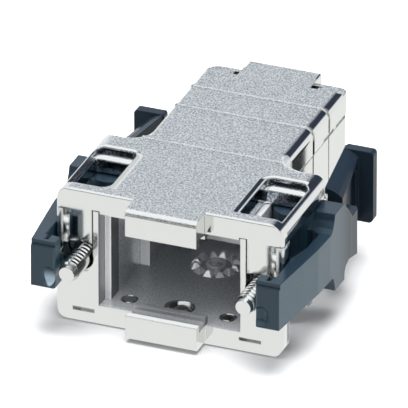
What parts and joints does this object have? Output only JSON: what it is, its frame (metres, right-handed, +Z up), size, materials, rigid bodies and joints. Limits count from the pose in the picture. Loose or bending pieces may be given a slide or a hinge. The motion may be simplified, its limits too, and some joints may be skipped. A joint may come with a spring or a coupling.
{
  "type": "d-sub hood",
  "caption": "Straight die-cast hood for a small D-sub connector, with two sprung side levers that carry toothed locking pins.",
  "frame": {"origin": "centre of the mating face, where the connector's flange lies on the hood", "axes": "+Z up from the underside to the lid, -Y out of the mating face, +Y towards the cable, +X to the right as seen from the connector"},
  "size_m": [0.0378, 0.0477, 0.0201],
  "materials": {
    "nickel_shell": "nickel-plated die casting, blasted on top and polished on its sides",
    "black_plastic": "satin moulded",
    "nickel_pin": "nickel-plated",
    "steel": "zinc-plated",
    "rubber": "matte"
  },
  "bodies": {
    "hood": {"upper_shell": "nickel_shell", "lower_shell": "nickel_shell", "left_pivot_pin": "steel", "right_pivot_pin": "steel", "left_spring": "steel", "right_spring": "steel", "lower_clamp": "steel", "upper_clamp": "steel", "left_clamp_screw": "steel", "right_clamp_screw": "steel", "lower_bush": "rubber", "upper_bush": "rubber", "front_left_shell_screw": "steel", "front_right_shell_screw": "steel", "rear_left_shell_screw": "steel", "rear_right_shell_screw": "steel"},
    "left_lever_body": {"left_lever": "black_plastic", "left_lock_pin": "nickel_pin"},
    "right_lever_body": {"right_lever": "black_plastic", "right_lock_pin": "nickel_pin"}
  },
  "joints": [
    {"name": "left_lever_pivot", "type": "hinge", "parent": "hood", "child": "left_lever_body", "pos_m": [-0.0131, 0.012, 0.00015], "axis": [0, 0, -1], "range_deg": [0, 4], "stiffness_Nm_per_rad": 0.06, "springref_deg": -5.73, "deforming": ["left_spring"]},
    {"name": "right_lever_pivot", "type": "hinge", "parent": "hood", "child": "right_lever_body", "pos_m": [0.0131, 0.012, 0.00015], "axis": [0, 0, 1], "range_deg": [0, 4], "stiffness_Nm_per_rad": 0.06, "springref_deg": -5.73, "deforming": ["right_spring"]}
  ]
}
